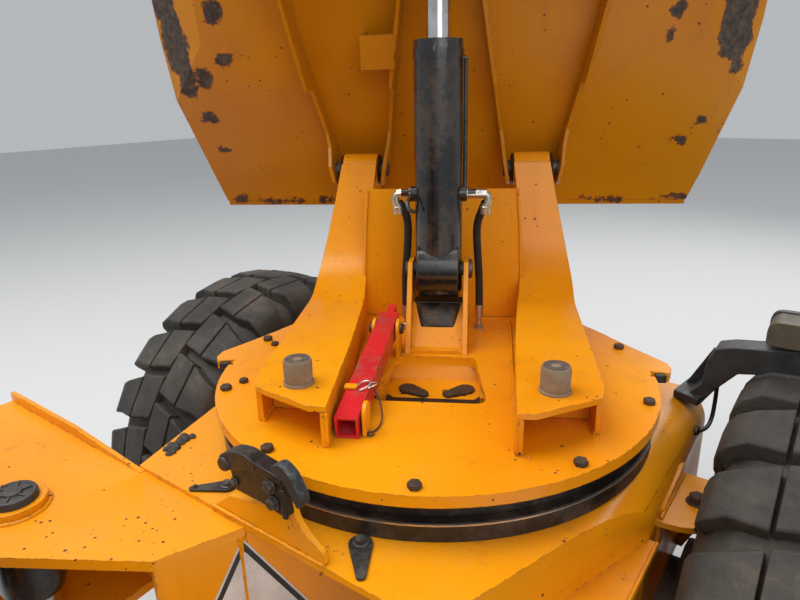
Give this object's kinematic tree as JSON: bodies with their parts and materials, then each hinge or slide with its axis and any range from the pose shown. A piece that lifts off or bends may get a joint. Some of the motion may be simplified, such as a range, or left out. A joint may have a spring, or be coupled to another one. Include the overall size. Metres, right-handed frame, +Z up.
{
  "type": "articulated swivel-skip site dumper",
  "caption": "Articulated site dumper with a forward-tipping swivel skip on a turntable, open operator platform, folding steering joint and rear engine.",
  "frame": {"origin": "on the ground, at the middle of the machine's plan", "axes": "+Y to the machine's front, +X to its right, +Z up"},
  "size_m": [2.1677, 4.2875, 2.7036],
  "materials": {
    "cast": "rough",
    "chrome": "polished",
    "dark_steel": "satin",
    "lens": "gloss",
    "paint": "gloss",
    "pin": "satin",
    "plastic": "matt",
    "red_paint": "satin",
    "rubber": "matt",
    "seat": "matt",
    "tyre": "matt"
  },
  "bodies": {
    "rear_frame": {"rear_chassis": "paint", "articulation_pin": "pin", "engine_block": "cast", "platform": "paint", "seat_base": "paint", "seat_mount": "paint", "seat_cushion": "seat", "seat_backrest": "seat", "console": "plastic", "steering_wheel": "plastic", "roll_frame": "paint", "side_steps": "paint", "mudguard_left": "paint", "mudguard_right": "paint", "fuel_tank": "paint", "battery_box": "paint", "rear_bumper": "paint", "tow_hitch": "paint", "tail_lamps": "lens", "rear_axle": "cast", "steering_ram_foot_pin": "pin", "exhaust": "cast"},
    "bonnet": {"bonnet": "paint", "radiator_grille": "plastic"},
    "front_frame": {"front_chassis": "paint", "steering_bracket": "paint", "front_axle": "cast", "slew_ring_lower": "dark_steel", "swivel_latch": "dark_steel", "latch_bracket": "paint", "lamp_arm": "dark_steel", "headlamp": "plastic"},
    "swivel": {"turntable_plate": "paint", "slew_ring_upper": "dark_steel", "tower_left": "paint", "tower_right": "paint", "tower_web": "paint", "ram_foot": "paint", "ram_pin_lower": "pin", "rubber_buffers": "rubber", "safety_prop": "red_paint", "prop_ears": "paint", "skip_hinge_pins": "pin", "ram_hoses": "rubber"},
    "skip": {"skip_shell": "paint", "skip_ribs_left": "paint", "skip_ribs_right": "paint", "ram_eye_bracket": "paint"},
    "ram_barrel": {"ram_barrel": "dark_steel"},
    "ram_rod": {"ram_rod": "chrome"},
    "steering_ram_barrel": {"steering_ram_barrel": "dark_steel"},
    "steering_ram_rod": {"steering_ram_rod": "chrome"},
    "wheel_front_left": {"tyre_front_left": "tyre", "rim_front_left": "paint"},
    "wheel_front_right": {"tyre_front_right": "tyre", "rim_front_right": "paint"},
    "wheel_rear_left": {"tyre_rear_left": "tyre", "rim_rear_left": "paint"},
    "wheel_rear_right": {"tyre_rear_right": "tyre", "rim_rear_right": "paint"}
  },
  "joints": [
    {"name": "steer", "type": "hinge", "parent": "rear_frame", "child": "front_frame", "pos_m": [0.1, 0.026, 0.65], "axis": [0, 0, 1], "range_deg": [-33, 33]},
    {"name": "skip_swivel", "type": "hinge", "parent": "front_frame", "child": "swivel", "pos_m": [0.1, 0.916, 0.976], "axis": [0, 0, 1], "range_deg": [-119.5, 60.5]},
    {"name": "skip_tip", "type": "hinge", "parent": "swivel", "child": "skip", "pos_m": [-0.16098, 1.37729, 1.42], "axis": [0.8704, 0.4924, 0], "range_deg": [0, 78]},
    {"name": "ram_pivot", "type": "hinge", "parent": "swivel", "child": "ram_barrel", "pos_m": [-0.00341, 1.09878, 1.211], "axis": [0.8704, 0.4924, 0], "range_deg": [-1, 79.78]},
    {"name": "ram_slide", "type": "slide", "parent": "ram_barrel", "child": "ram_rod", "axis": [-0.0074, 0.0132, 0.9999], "range_m": [-0.4815, 0.005]},
    {"name": "steering_ram_pivot", "type": "hinge", "parent": "rear_frame", "child": "steering_ram_barrel", "pos_m": [-0.25, -0.674, 0.72], "axis": [0, 0, 1], "range_deg": [-8.26, 8.26]},
    {"name": "steering_ram_slide", "type": "slide", "parent": "steering_ram_barrel", "child": "steering_ram_rod", "axis": [-0.0861, 0.9963, 0], "range_m": [-0.2354, 0.2354]},
    {"name": "bonnet_lid", "type": "hinge", "parent": "rear_frame", "child": "bonnet", "pos_m": [0.1, -1.99, 0.905], "axis": [1, 0, 0], "range_deg": [0, 60]},
    {"name": "roll_front_left", "type": "hinge", "parent": "front_frame", "child": "wheel_front_left", "pos_m": [-0.68, 1.128, 0.5375], "axis": [1, 0, 0], "continuous": true},
    {"name": "roll_front_right", "type": "hinge", "parent": "front_frame", "child": "wheel_front_right", "pos_m": [0.88, 1.128, 0.5375], "axis": [1, 0, 0], "continuous": true},
    {"name": "roll_rear_left", "type": "hinge", "parent": "rear_frame", "child": "wheel_rear_left", "pos_m": [-0.68, -1.074, 0.5375], "axis": [1, 0, 0], "continuous": true},
    {"name": "roll_rear_right", "type": "hinge", "parent": "rear_frame", "child": "wheel_rear_right", "pos_m": [0.88, -1.074, 0.5375], "axis": [1, 0, 0], "continuous": true}
  ],
  "couplings": [
    {"joint": "ram_pivot", "follows": "skip_tip", "ratio": 1.01},
    {"joint": "ram_slide", "follows": "skip_tip", "m_per_rad": -0.35},
    {"joint": "steering_ram_pivot", "follows": "steer", "ratio": 0.22},
    {"joint": "steering_ram_slide", "follows": "steer", "m_per_rad": -0.4}
  ]
}
